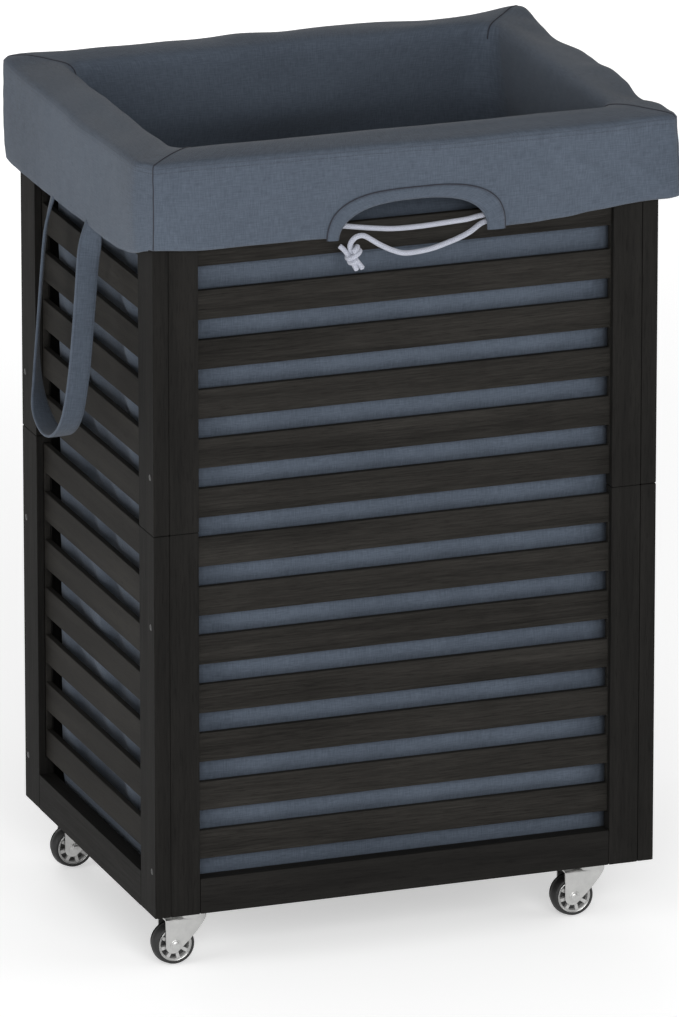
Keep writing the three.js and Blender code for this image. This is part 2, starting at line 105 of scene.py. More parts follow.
# The strap's stops: a point, and the direction across the band there. Up to a height of 570 they are the
# CAD's. Above it the ends go up under the cuff.
STRAP_STOPS = [
    ((-234.6, -45, 668), (0, -1)), ((-235.4, -45, 655), (0.12, -1)),
    ((-238.4, -45.5, 641), (0.55, -0.85)), ((-241.5, -45.5, 625), (0.9, -0.45)),
    ((-243.5, -45, 608), (1, -0.1)), ((-247, -44, 560), (1, 0)),
    ((-251, -42, 510), (1, 0)), ((-255, -34, 470), (1, 0)),
    ((-257, -12, 449), (1, 0.05)), ((-257, 18, 444), (1, 0.2)),
    ((-257, 44, 456), (0.9, 0.5)), ((-256, 56, 482), (0.6, 0.8)),
    ((-254, 60, 520), (0.39, 0.92)), ((-250, 60, 570), (0.39, 0.92)),
    ((-246, 59, 615), (0.39, 0.92)), ((-240, 58.5, 640), (0.3, 0.95)),
    ((-235.6, 58, 655), (0.1, 1)), ((-234.6, 58, 668), (0, 1)),
]


# Camera. It stands to the left of the front and looks down at the hamper.

CAMERA_TARGET = (0.003, 0.001, 0.350)
CAMERA_DISTANCE = 10.0
CAMERA_YAW = 20.0
CAMERA_PITCH = 17.4
CAMERA_LENS = 405
CAMERA_SENSOR = 36

add_to_scene = bpy.context.scene.collection.objects.link


def make_camera():
    data = bpy.data.cameras.new("camera")
    data.sensor_width = CAMERA_SENSOR
    data.lens = CAMERA_LENS
    data.clip_start = 0.1
    data.clip_end = 60
    camera = bpy.data.objects.new("camera", data)
    yaw, pitch = math.radians(CAMERA_YAW), math.radians(CAMERA_PITCH)
    level = math.cos(pitch)
    sight = Vector((math.sin(yaw) * level, math.cos(yaw) * level, -math.sin(pitch)))
    camera.location = Vector(CAMERA_TARGET) - CAMERA_DISTANCE * sight
    camera.rotation_euler = (math.pi / 2 - pitch, 0, -yaw)
    add_to_scene(camera)
    bpy.context.scene.camera = camera


make_camera()


# Mesh helpers. All of them take millimetres and make objects in metres.


def add_object(name, verts, faces, material, uvs=None):
    """A mesh object. uvs, when given, holds one (u, v) for each vertex, in metres."""
    mesh = bpy.data.meshes.new(name)
    points = np.asarray(verts, float) * MM
    mesh.from_pydata([tuple(p) for p in points], [], [tuple(f) for f in faces])
    mesh.validate()
    if uvs is not None:
        layer = mesh.uv_layers.new(name="UVMap")
        flat = np.asarray(uvs, float)
        index = np.zeros(len(mesh.loops), np.int32)
        mesh.loops.foreach_get("vertex_index", index)
        layer.data.foreach_set("uv", flat[index].astype(np.float32).ravel())
    mesh.polygons.foreach_set("use_smooth", [True] * len(mesh.polygons))
    obj = bpy.data.objects.new(name, mesh)
    add_to_scene(obj)
    obj.data.materials.append(material)
    return obj


def grid_faces(rows, columns, close_rows=False, close_columns=False):
    """Quads for a grid of rows x columns vertices, numbered along the columns first."""
    faces = []
    for i in range(rows if close_rows else rows - 1):
        row, next_row = i * columns, (i + 1) % rows * columns
        for j in range(columns if close_columns else columns - 1):
            k = (j + 1) % columns
            faces.append((row + j, row + k, next_row + k, next_row + j))
    return faces


def distances(line):
    """How far along the line each of its points is."""
    return np.concatenate([[0], np.cumsum(np.linalg.norm(np.diff(line, axis=0), axis=1))])


def tangents(line):
    """Unit vectors along the line at its points."""
    along = np.gradient(line, axis=0)
    return along / np.linalg.norm(along, axis=1)[:, None]


def tube_faces(rows, columns):
    """The faces of a tube of that many rings, with both ends closed."""
    ends = [tuple(range(columns))[::-1], tuple(range((rows - 1) * columns, rows * columns))]
    return grid_faces(rows, columns, close_columns=True) + ends


SPLINE_STEPS = 24  # straight pieces between two given points, before the even spacing


def spline(points, step):
    """Points about step apart along a smooth curve through the given points."""
    pts = np.asarray(points, float)
    padded = np.vstack([2 * pts[0] - pts[1], pts, 2 * pts[-1] - pts[-2]])
    fine = []
    for i in range(1, len(padded) - 2):
        p0, p1, p2, p3 = padded[i - 1 : i + 3]
        for t in np.linspace(0, 1, SPLINE_STEPS, endpoint=False):
            curve = 2 * p1 + (p2 - p0) * t + (2 * p0 - 5 * p1 + 4 * p2 - p3) * t * t
            fine.append(0.5 * (curve + (3 * p1 - p0 - 3 * p2 + p3) * t * t * t))
    fine.append(padded[-2])
    fine = np.array(fine)
    along = distances(fine[:, :3])
    count = max(2, int(math.ceil(along[-1] / step)) + 1)
    at = np.linspace(0, along[-1], count)
    return np.stack([np.interp(at, along, fine[:, k]) for k in range(fine.shape[1])], axis=1)


def lip_ring(end, outward, angle):
    """One ring of a tube's rounded end: the end ring moved outward and made smaller."""
    centre, across, up, radius, along = end
    lip = 0.25 * radius
    return centre + outward * lip * math.sin(angle), across, up, radius - lip * (1 - math.cos(angle)), along


def tube(points, radius, sides):
    """(vertices, faces, uvs) of a round tube along the points, with rounded ends."""
    line = np.asarray(points, float)
    tangent = tangents(line)
    side = np.cross(tangent[0], (0.3, 1, 0.2))
    side /= np.linalg.norm(side)
    along = 0.0
    rings = []
    for i, centre in enumerate(line):
        side = side - tangent[i] * (side @ tangent[i])
        side /= np.linalg.norm(side)
        if i:
            along += np.linalg.norm(centre - line[i - 1])
        rings.append((centre, side, np.cross(tangent[i], side), radius, along))
    start = [lip_ring(rings[0], -tangent[0], angle) for angle in (math.pi / 2, math.pi / 4)]
    end = [lip_ring(rings[-1], tangent[-1], angle) for angle in (math.pi / 4, math.pi / 2)]
    rings = start + rings + end
    verts = []
    uvs = []
    for centre, across, up, size, length in rings:
        for k in range(sides):
            angle = 2 * math.pi * k / sides
            verts.append(centre + size * (math.cos(angle) * across + math.sin(angle) * up))
            uvs.append((k / sides, length * MM))
    return verts, tube_faces(len(rings), sides), uvs


def lathe(profile, segments, centre=(0, 0, 0), closed=True):
    """(vertices, faces) of (radius, along) points turned about the line through centre along Y."""
    verts = []
    for radius, along in profile:
        for k in range(segments):
            angle = 2 * math.pi * k / segments
            x, z = radius * math.cos(angle), radius * math.sin(angle)
            verts.append((centre[0] + x, centre[1] + along, centre[2] + z))
    return verts, grid_faces(len(profile), segments, close_rows=closed, close_columns=True)


def joined(parts):
    """(vertices, faces) of several (vertices, faces) put together."""
    verts = []
    faces = []
    for part_verts, part_faces in parts:
        base = len(verts)
        verts.extend(tuple(p) for p in part_verts)
        faces.extend(tuple(i + base for i in f) for f in part_faces)
    return verts, faces


def turned(points):
    """The points turned half a turn about the vertical axis."""
    return [(-x, -y, z) for x, y, z in points]


def ripple(x, y, scale, seed, waves=6):
    """Smooth irregular waves between about -1 and 1. The same seed always gives the same waves."""
    rng = np.random.default_rng(seed)
    total = np.zeros(np.broadcast(x, y).shape)
    for _ in range(waves):
        angle = rng.uniform(0, 2 * math.pi)
        frequency = rng.uniform(0.6, 1.5) * 2 * math.pi / scale
        phase = rng.uniform(0, 2 * math.pi)
        total += np.sin(frequency * (x * math.cos(angle) + y * math.sin(angle)) + phase)
    return total / math.sqrt(waves) / 1.4


def hill(x, centre, width):
    """A smooth hill of height 1 at centre."""
    return np.exp(-(((x - centre) / width) ** 2))


def ramp(x, low, high):
    """Rises smoothly from 0 at low to 1 at high."""
    t = np.clip((x - low) / (high - low), 0, 1)
    return t * t * (3 - 2 * t)


# Materials


class Nodes:
    """A short way to build one node material."""

    def __init__(self, name):
        self.material = bpy.data.materials.new(name)
        self.material.use_nodes = True
        self.tree = self.material.node_tree
        self.shader = self.tree.nodes["Principled BSDF"]
        coords = self.new("TexCoord")
        self.place = coords.outputs["Object"]
        self.uv = coords.outputs["UV"]

    def set(self, node=None, **sockets):
        """Sets inputs of the node, or of the shader. An underscore in a name stands for a space."""
        for name, value in sockets.items():
            (node or self.shader).inputs[name.replace("_", " ")].default_value = value

    def new(self, kind, **sockets):
        node = self.tree.nodes.new("ShaderNode" + kind)
        self.set(node, **sockets)
        return node

    def link(self, source, target):
        self.tree.links.new(source, target)

    def put(self, value, socket):
        """Gives the socket a number or a colour, or links it to an output."""
        if isinstance(value, (int, float)):
            socket.default_value = value
        elif isinstance(value, tuple):
            socket.default_value = (*value, 1)
        else:
            self.link(value, socket)

    def mapped(self, vector, scale):
        node = self.new("Mapping", Scale=scale)
        self.link(vector, node.inputs["Vector"])
        return node.outputs["Vector"]

    def noise(self, vector, scale, detail=4, rough=0.55, distortion=0.0):
        node = self.new("TexNoise", Scale=scale, Detail=detail, Roughness=rough, Distortion=distortion)
        self.link(vector, node.inputs["Vector"])
        return node.outputs["Fac"]

    def math(self, operation, first, second=None):
        node = self.new("Math")
        node.operation = operation
        self.put(first, node.inputs[0])
        if second is not None:
            self.put(second, node.inputs[1])
        return node.outputs[0]

    def plus(self, first, second):
        return self.math("ADD", first, second)

    def times(self, first, second):
        return self.math("MULTIPLY", first, second)

    def axis(self, vector, name):
        node = self.new("SeparateXYZ")
        self.link(vector, node.inputs[0])
        return node.outputs[name]

    def spread(self, value, low, high, out_low=0.0, out_high=1.0):
        node = self.new("MapRange", From_Min=low, From_Max=high, To_Min=out_low, To_Max=out_high)
        self.link(value, node.inputs["Value"])
        return node.outputs["Result"]

    def mix(self, factor, first, second, blend="MIX"):
        node = self.new("Mix")
        node.data_type = "RGBA"
        node.blend_type = blend
        self.put(factor, node.inputs[0])
        self.put(first, node.inputs[6])
        self.put(second, node.inputs[7])
        return node.outputs[2]

    def colour(self, output):
        self.link(output, self.shader.inputs["Base Color"])

    def roughness(self, output):
        self.link(output, self.shader.inputs["Roughness"])

    def bump(self, height, strength, distance):
        node = self.new("Bump", Strength=strength, Distance=distance)
        previous = self.shader.inputs["Normal"]
        if previous.is_linked:
            self.link(previous.links[0].from_socket, node.inputs["Normal"])
        self.link(height, node.inputs["Height"])
        self.link(node.outputs["Normal"], previous)


WOOD_DARK = (0.0080, 0.0076, 0.0070)
WOOD_LIGHT = (0.0150, 0.0142, 0.0131)
SLAT_DARK = (0.0088, 0.0082, 0.0073)
SLAT_LIGHT = (0.029, 0.0271, 0.0243)
GRAIN_ALONG = 1.6  # scale of the wood's pattern along its grain
GRAIN_ACROSS = 42


def wood(name, grain, dark, light, bump, fineness=1.0):
    """Dark stained wood, its grain running along one axis."""
    stretch = tuple(GRAIN_ALONG if axis == grain else GRAIN_ACROSS for axis in "XYZ")
    m = Nodes(name)
    m.set(Specular_IOR_Level=0.06)
    along = m.mapped(m.place, stretch)
    broad = m.noise(along, 1.4, detail=3, rough=0.5, distortion=0.6)
    fibre = m.noise(along, 11 * fineness, detail=6, rough=0.7)
    pores = m.noise(m.mapped(m.place, tuple(s * 5 for s in stretch)), 8, detail=2, rough=0.6)
    patch = m.noise(m.place, 9, detail=2)
    streak = m.plus(m.times(broad, 0.45), m.times(fibre, 0.55))
    colour = m.mix(m.spread(streak, 0.36, 0.66), dark, light)
    pore_dark = m.spread(pores, 0.34, 0.44, 0.62, 1.0)
    grey = m.new("CombineColor")
    for socket in grey.inputs:
        m.link(m.times(pore_dark, m.spread(patch, 0.3, 0.7, 0.88, 1.12)), socket)
    m.colour(m.mix(1.0, colour, grey.outputs[0], blend="MULTIPLY"))
    m.roughness(m.spread(fibre, 0.3, 0.7, 0.56, 0.72))
    m.bump(m.plus(fibre, m.times(pores, 0.8)), 0.5, bump)
    return m.material


FABRIC = (0.0835, 0.1035, 0.1345)
FABRIC_DEEP = (0.054, 0.067, 0.089)
THREAD = (0.045, 0.05, 0.066)
WEAVE_PITCH = 0.0011
STITCH_PITCH = 0.0036


def fabric(name, stitches):
    """Plain woven cloth with lines of stitches, each at a v and of a half width.

    The mesh's UVs are in metres: u along the edge, v down from the crease or across the band.
    """
    m = Nodes(name)
    m.set(Roughness=0.88, Specular_IOR_Level=0.15, Sheen_Weight=0.1, Sheen_Roughness=0.5)
    u = m.axis(m.uv, "X")
    v = m.axis(m.uv, "Y")
    turn = 2 * math.pi / WEAVE_PITCH
    wobble = m.noise(m.uv, 380, detail=2)
    warp = m.math("SINE", m.plus(m.times(u, turn), m.times(wobble, 3.0)))
    weft = m.math("SINE", m.plus(m.times(v, turn), m.times(wobble, 3.0)))
    weave = m.times(warp, weft)
    slub = m.noise(m.mapped(m.uv, (900, 90, 1)), 1, detail=3, rough=0.6)
    slub_across = m.noise(m.mapped(m.uv, (90, 900, 1)), 1, detail=3, rough=0.6)
    cloud = m.noise(m.place, 6, detail=4, rough=0.6)
    tone = m.plus(m.times(slub, 0.5), m.times(slub_across, 0.5))
    tone = m.plus(tone, m.times(weave, 0.05))
    tone = m.plus(tone, m.times(m.math("SUBTRACT", cloud, 0.5), 0.35))
    shade = m.mix(m.spread(tone, 0.36, 0.64), FABRIC_DEEP, FABRIC)
    height = m.plus(m.times(weave, 0.5), m.times(tone, 1.2))
    for place, width in stitches:
        across = m.math("LESS_THAN", m.math("ABSOLUTE", m.math("SUBTRACT", v, place)), width)
        dash = m.math("LESS_THAN", m.math("FRACT", m.math("DIVIDE", u, STITCH_PITCH)), 0.72)
        line = m.times(across, m.plus(0.35, m.times(dash, 0.65)))
        shade = m.mix(m.times(line, 0.5), shade, THREAD)
        height = m.math("SUBTRACT", height, m.times(line, 2.2))
    m.colour(shade)
    m.bump(height, 0.55, 0.00022)
    return m.material


BRAID_TURNS = 6  # braid strands seen round the cord
BRAID_PITCH = 0.0024


def cord_material():
    m = Nodes("drawstring_braid")
    m.set(Roughness=0.78, Specular_IOR_Level=0.3, Sheen_Weight=0.25, Sheen_Roughness=0.5)
    around = m.times(m.axis(m.uv, "X"), 2 * math.pi * BRAID_TURNS)
    along = m.times(m.axis(m.uv, "Y"), 2 * math.pi / BRAID_PITCH)
    left = m.math("SINE", m.plus(around, along))
    right = m.math("SINE", m.math("SUBTRACT", around, along))
    braid = m.math("MAXIMUM", left, right)
    fuzz = m.noise(m.place, 900, detail=2)
    tone = m.plus(m.times(braid, 0.3), fuzz)
    m.colour(m.mix(m.spread(tone, 0.1, 0.95), (0.25, 0.265, 0.32), (0.47, 0.49, 0.565)))
    m.bump(braid, 0.7, 0.0003)
    return m.material


def steel_material():
    m = Nodes("caster_zinc")
    m.set(Metallic=1.0, Specular_IOR_Level=0.5)
    cloud = m.noise(m.place, 90, detail=5, rough=0.65)
    scratch = m.noise(m.mapped(m.place, (60, 60, 900)), 1, detail=3)
    m.colour(m.mix(m.spread(cloud, 0.3, 0.7), (0.46, 0.46, 0.455), (0.55, 0.55, 0.54)))
    m.roughness(m.spread(m.plus(cloud, scratch), 0.7, 1.3, 0.30, 0.40))
    m.bump(scratch, 0.05, 0.00005)
    return m.material


def plastic(name, low, high, roughness_low, roughness_high):
    m = Nodes(name)
    m.set(Specular_IOR_Level=0.5)
    cloud = m.noise(m.place, 120, detail=4, rough=0.6)
    fine = m.noise(m.place, 1600, detail=2)
    m.colour(m.mix(m.spread(cloud, 0.3, 0.7), low, high))
    m.roughness(m.spread(cloud, 0.3, 0.7, roughness_low, roughness_high))
    m.bump(fine, 0.25, 0.00006)
    return m.material


wood_materials = {g: wood(f"wood_along_{g}", g, WOOD_DARK, WOOD_LIGHT, 0.00025) for g in "XYZ"}
slat_materials = {g: wood(f"slat_along_{g}", g, SLAT_DARK, SLAT_LIGHT, 0.0004, 1.7) for g in "XY"}
CREASE_STITCHES = ((0.0002, 0.00045), (0.004, 0.00045))
EDGE_STITCHES = ((0.0022, 0.0003), (0.0178, 0.0003))
cuff_cloth = fabric("cuff_cloth", CREASE_STITCHES)
band_cloth = fabric("band_cloth", EDGE_STITCHES)
strap_cloth = fabric("strap_cloth", EDGE_STITCHES)
# Seam lines: the seams' stitching, coloured near-black as painted shade of the grooves along the seams.
thread_and_groove_shade = plastic("seam_stitching_and_painted_groove_shade", (0.012, 0.013, 0.021), (0.022, 0.024, 0.036), 0.7, 0.9)
braid = cord_material()
zinc = steel_material()
hub_grey = plastic("hub_plastic", (0.36, 0.36, 0.355), (0.46, 0.46, 0.455), 0.25, 0.42)
# Painted shade: near-black for the hub's pockets and the screws' cross recesses, standing in for the shade
# in these recesses.
painted_recess_shade = plastic("recess_painted_shade", (0.03, 0.03, 0.03), (0.05, 0.05, 0.05), 0.45, 0.6)
rubber = plastic("tyre_rubber", (0.005, 0.005, 0.0052), (0.011, 0.011, 0.0108), 0.5, 0.68)
screw_black = plastic("screw_black", (0.01, 0.01, 0.0105), (0.02, 0.02, 0.0205), 0.3, 0.45)


# Drawstring at the front hand opening: one length runs across it, and one droops to a knot.


def put_on_liner(piece, slot, *nodes):
    """The piece moves with the liner, in place of the CAD nodes if any are given."""
    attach(piece, "liner")
    if nodes:
        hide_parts(*nodes)


CORD_SIDES = 18
CORD_STEP = 1.2
KNOT_STEP = 0.9


def add_cord(name, points, node):
    line = spline(points, CORD_STEP)
    verts, faces, uvs = tube(line, CORD_RADIUS, CORD_SIDES)
    cord = add_object(name, verts, faces, braid, uvs)
    put_on_liner(cord, "drawstring", node)


KNOT_CENTRE = np.array((-54.5, -192, 639.2))
KNOT_AXIS = np.array((0.50, 0.02, -0.866))  # the direction in which the tails leave the knot
KNOT_WRAP = (6.1, 4.3)  # half width and half depth of a wrap's centreline
KNOT_TURNS = 2.0
KNOT_PITCH = 4.3  # how far one turn of the wraps moves along the axis
# The loop's end and the stub, each from where it enters the knot to the end of its tail.
KNOT_STRANDS = (
    (
        (-58.1, -192.6, 647.3), (-57.4, -192.4, 644.4), (-55.4, -192, 640),
        (-52.2, -191.8, 634.2), (-46.4, -191.4, 626.4),
    ),
    (
        (-65.8, -188.8, 646.8), (-62.9, -190.4, 644), (-59.4, -191.8, 639.4),
        (-56.4, -192, 634.4), (-51.6, -191.6, 625.6),
    ),
)


def knot_wraps():
    """The centreline of the knot's wraps: one cord wound twice round the two strands."""
    axis = KNOT_AXIS / np.linalg.norm(KNOT_AXIS)
    front = np.array((0, -1, 0))
    depth = front - axis * (front @ axis)
    depth /= np.linalg.norm(depth)
    across = np.cross(axis, depth)
    points = []
    for t in np.linspace(-0.5, 0.5, 73):
        angle = 2 * math.pi * KNOT_TURNS * t + math.pi / 2
        points.append(
            KNOT_CENTRE
            + axis * (KNOT_PITCH * KNOT_TURNS * t + 0.9 * math.cos(angle))
            + across * KNOT_WRAP[0] * math.cos(angle)
            + depth * KNOT_WRAP[1] * math.sin(angle)
        )
    return points


def add_knot():
    """A knot in two strands: the loop's end and a stub go in, and two tails come out."""
    parts = [tube(spline(strand, KNOT_STEP), CORD_RADIUS - 0.05, CORD_SIDES) for strand in KNOT_STRANDS]
    parts.append(tube(spline(knot_wraps(), KNOT_STEP), CORD_RADIUS, CORD_SIDES))
    verts, faces = joined([part[:2] for part in parts])
    uvs = [uv for part in parts for uv in part[2]]
    knot = add_object("front_knot", verts, faces, braid, uvs)
    put_on_liner(knot, "drawstring", "front_drawstring_knot")
    return knot


front_knot = add_knot()
add_cord("front_cord_across", RETURN_CORD, "front_return_cord")
add_cord("front_cord_loop", LOOP_CORD, "front_drawstring")


# Wooden frame: the CAD boards, with softened edges and grain.


def add_weld(obj, distance):
    weld = obj.modifiers.new("weld", "WELD")
    weld.merge_threshold = distance * MM


def add_bevel(obj, width, angle):
    """Rounds the edges that are sharper than the angle, in degrees."""
    bevel = obj.modifiers.new("bevel", "BEVEL")
    bevel.width = width * MM
    bevel.segments = 2
    bevel.limit_method = "ANGLE"
    bevel.angle_limit = math.radians(angle)


def dress(obj, material, edge, angle=35):
    """Gives a CAD node its material and rounds its edges."""
    obj.data.materials.clear()
    obj.data.materials.append(material)
    add_weld(obj, 0.02)
    add_bevel(obj, edge, angle)


for name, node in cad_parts.items():
    side = name.split("_")[0]
    lengthwise = "X" if side in ("front", "back") else "Y"
    if name.endswith("_stile"):
        dress(node, wood_materials["Z"], 0.9)
    elif name.endswith("_rail"):
        dress(node, wood_materials[lengthwise], 0.9)
    elif name.endswith("_slats"):
        dress(node, slat_materials[lengthwise], 0.7)
    elif name == "base_board":
        dress(node, wood_materials["X"], 0.6)
    elif name.startswith("caster_plate"):
        dress(node, zinc, 0.3, angle=40)


# Screws through the edges of the side panels.

SCREW_HEIGHTS = (41, 262, 396, 612)  # above the frame's bottom
SCREW_INSET = 8.5  # from the panel's vertical edge
SCREW_SINK = 0.15
SCREW_SEGMENTS = 28


def screw_head():
    """(vertices, faces) of a low domed head facing -Y. Its last two faces are the cross recess, drawn as
    flat marks that get the painted recess shade.
    """
    dome = [(0.01, -0.55), (1.5, -0.5), (2.6, -0.3), (3.1, 0.05), (3.15, 0.6)]
    parts = [lathe(dome, SCREW_SEGMENTS, closed=False)]
    for half_x, half_z in ((1.7, 0.32), (0.32, 1.7)):
        corners = [(-half_x, -half_z), (half_x, -half_z), (half_x, half_z), (-half_x, half_z)]
        parts.append(([(x, -0.62, z) for x, z in corners], [(0, 1, 2, 3)]))
    return joined(parts)


def add_screws():
    verts, faces = screw_head()
    for side, sign in (("left", -1), ("right", 1)):
        out = HALF_WIDTH - SCREW_SINK
        for end, edge in (("front", -HALF_DEPTH + SCREW_INSET), ("back", HALF_DEPTH - SCREW_INSET)):
            for number, height in enumerate(SCREW_HEIGHTS):
                base = FRAME_BOTTOM + height
                placed = [(sign * (out - y), edge + sign * x, base + z) for x, y, z in verts]
                screw = add_object(f"screw_{side}_{end}_{number}", placed, faces, screw_black)
                # The cross recess is coloured with the painted recess shade, not cut into the head.
                screw.data.materials.append(painted_recess_shade)
                for polygon in list(screw.data.polygons)[-2:]:
                    polygon.material_index = 1
                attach(screw, "frame")


add_screws()


# Casters


WHEEL_SEGMENTS = 96
RIM_SEGMENTS = 72
BOSS_SEGMENTS = 48
RACE_SEGMENTS = 40
RIVET_SEGMENTS = 32
AXLE_SEGMENTS = 24
HUB_FACE = 7.2
SPOKES = 8
SPOKE_TURN = 0.3  # of the step between two spokes


def fork_plan(inset):
    """The fork's plan outline from one side of the tail round the nose to the other side."""
    y = FORK_HALF_WIDTH - inset
    heel = FORK_TAIL + CHEEK_BELOW
    straight = list(heel - CHEEK_BELOW * np.cos(np.linspace(0.02, math.pi / 2, 9)))
    straight += list(np.linspace(heel, FORK_NOSE_START, 9)[1:-1])
    points = [(max(x, FORK_TAIL), -y) for x in straight]
    for angle in np.linspace(-math.pi / 2, 0, 16):
        points.append((FORK_NOSE_START + (FORK_NOSE - inset) * math.cos(angle), y * math.sin(angle)))
    return points + [(x, -y) for x, y in reversed(points[:-1])]


def cheek_bottom(x):
    """Height of the fork's lower edge at x."""
    heel = FORK_TAIL + CHEEK_BELOW
    reach = CHEEK_BELOW * math.cos(math.pi / 4)
    slope_start = heel + reach
    if x <= slope_start:
        rise = max(0.0, CHEEK_BELOW**2 - (x - heel) ** 2)
        return WHEEL_RADIUS - math.sqrt(rise)
    slope = (FORK_TOP - FORK_STEEL - WHEEL_RADIUS + reach) / (-WHEEL_TRAIL + 32 - slope_start)
    return WHEEL_RADIUS - reach + slope * (x - slope_start)


def fork_shell():
    """The stamped fork: two cheeks and a nose, closed by a web on top, as one skin to be thickened."""
    corner = 1.8
    levels = 8
    outline = fork_plan(0)
    columns = len(outline)
    verts = []
    for k in range(levels):
        for x, y in outline:
            low = cheek_bottom(x)
            z = low + (FORK_TOP - corner - low) * k / (levels - 1)
            verts.append((x, y, z))
    for angle in (30, 60, 90):
        inset = corner * (1 - math.cos(math.radians(angle)))
        z = FORK_TOP - corner + corner * math.sin(math.radians(angle))
        verts += [(x, y, z) for x, y in fork_plan(inset)]
    rows = levels + 3
    faces = grid_faces(rows, columns)
    top = (rows - 1) * columns
    for i in range(columns // 2):
        a, b = top + i, top + i + 1
        c, d = top + columns - 2 - i, top + columns - 1 - i
        if b == c:
            faces.append((a, b, d))
        else:
            faces.append((a, b, c, d))
    return verts, faces


def rivet(side):
    """A domed rivet head over a washer, at the axle, on one side of the fork."""
    out = side * FORK_HALF_WIDTH
    washer = [(5.2, 0), (5.2, 0.35), (4.9, 0.5), (4.2, 0.5)]
    dome = [(4.0, 0.55), (3.9, 0.9), (3.2, 1.25), (1.8, 1.5), (0.01, 1.58)]
    profile = [(r, out + side * along) for r, along in washer + dome]
    verts, faces = lathe(profile, RIVET_SEGMENTS, WHEEL_CENTRE, closed=False)
    if side > 0:
        faces = [f[::-1] for f in faces]
    return verts, faces


def axle_and_race():
    """The rivet's shank across the fork, and the swivel race round the kingpin."""
    axle_profile = [(2.5, -FORK_HALF_WIDTH), (2.5, FORK_HALF_WIDTH)]
    ring_profile = [(13.6, FORK_TOP - 0.6), (14, FORK_TOP + 1), (14, 47.6), (13, 48.6), (3.4, 48.9)]
    verts, faces = lathe(ring_profile, RACE_SEGMENTS, closed=False)
    race = ([(x, z, y) for x, y, z in verts], [f[::-1] for f in faces])
    return [lathe(axle_profile, AXLE_SEGMENTS, WHEEL_CENTRE, closed=False), race]


TYRE_HALF_WIDTH = 8.2
TREAD_RADIUS = 7.5  # of the tyre's rounded section
TREAD_ANGLE = 68


def tyre_shape():
    half = TYRE_HALF_WIDTH
    profile = [(HUB_RADIUS + 0.2, -half + 0.4), (15.6, -half), (16.9, -half), (17.5, -half + 0.5)]
    for degrees in np.linspace(-TREAD_ANGLE, TREAD_ANGLE, 17):
        angle = math.radians(degrees)
        radius = WHEEL_RADIUS - TREAD_RADIUS + TREAD_RADIUS * math.cos(angle)
        profile.append((radius, half * math.sin(angle) / 0.94))
    profile += [(17.5, half - 0.5), (16.9, half), (15.6, half), (HUB_RADIUS + 0.2, half - 0.4)]
    return lathe(profile, WHEEL_SEGMENTS, WHEEL_CENTRE)


def spoke(angle, face):
    """One tapered spoke of the hub, with its face at y = face."""
    inner, outer = 5.0, 12.9
    half_inner, half_outer = 0.95, 1.35
    depth = face + (4.2 if face < 0 else -4.2)
    outline = [(inner, -half_inner), (outer, -half_outer), (outer, half_outer), (inner, half_inner)]
    chamfer = 0.25
    verts = []
    for level, grow in ((depth, 0), (face + math.copysign(chamfer, -face), 0), (face, -chamfer)):
        for r, across in outline:
            side = across + math.copysign(grow, across)
            x = r * math.cos(angle) - side * math.sin(angle)
            z = r * math.sin(angle) + side * math.cos(angle)
            verts.append((x - WHEEL_TRAIL, level, z + WHEEL_RADIUS))
    faces = grid_faces(3, 4, close_columns=True) + [(8, 9, 10, 11)]
    return verts, faces


def hub_shapes():
    """(grey parts, bright ring parts, dark parts) of the hub. The dark parts are a disc between the spokes,
    coloured near-black as painted shade in the pockets.
    """
    rim = [(HUB_RADIUS, -7.0), (HUB_RADIUS - 0.3, -7.4), (13.6, -7.4), (13.1, -7.0), (12.9, -3.0)]
    rim += [(radius, -along) for radius, along in reversed(rim)]
    boss = [(0.01, -8.7), (3.2, -8.7), (4.9, -8.2), (5.6, -7.2)]
    boss += [(5.7, 0)] + [(radius, -along) for radius, along in reversed(boss)]
    grey = [lathe(rim, RIM_SEGMENTS, WHEEL_CENTRE), lathe(boss, BOSS_SEGMENTS, WHEEL_CENTRE, closed=False)]
    for face in (-HUB_FACE, HUB_FACE):
        for k in range(SPOKES):
            grey.append(spoke(2 * math.pi * (k + SPOKE_TURN) / SPOKES, face))
    ring_profile = ((14.85, 7.3), (15.1, 7.9), (14.6, 8.15), (14.1, 7.9), (14.0, 7.3))
    bright = []
    for side in (-1, 1):
        profile = [(radius, side * along) for radius, along in ring_profile]
        bright.append(lathe(profile, WHEEL_SEGMENTS, WHEEL_CENTRE))
    # Painted shade: a dark disc fills the pockets between the spokes, standing in for the shade there.
    dark = [lathe([(4, -2.6), (13, -2.6), (13, 2.6), (4, 2.6)], BOSS_SEGMENTS, WHEEL_CENTRE)]
    return grey, bright, dark


def coloured_object(name, groups):
    """One object from several (parts, material) groups."""
    parts = [part for group, _ in groups for part in group]
    verts, faces = joined(parts)
    obj = add_object(name, verts, faces, groups[0][1])
    index = []
    for slot, (group, material) in enumerate(groups):
        if slot:
            obj.data.materials.append(material)
        for _, part_faces in group:
            index += [slot] * len(part_faces)
    obj.data.polygons.foreach_set("material_index", index)
    return obj


def sharpen(obj, degrees):
    """Keeps edges sharper than the given angle crisp under smooth shading."""
    obj.data.set_sharp_from_angle(angle=math.radians(degrees))


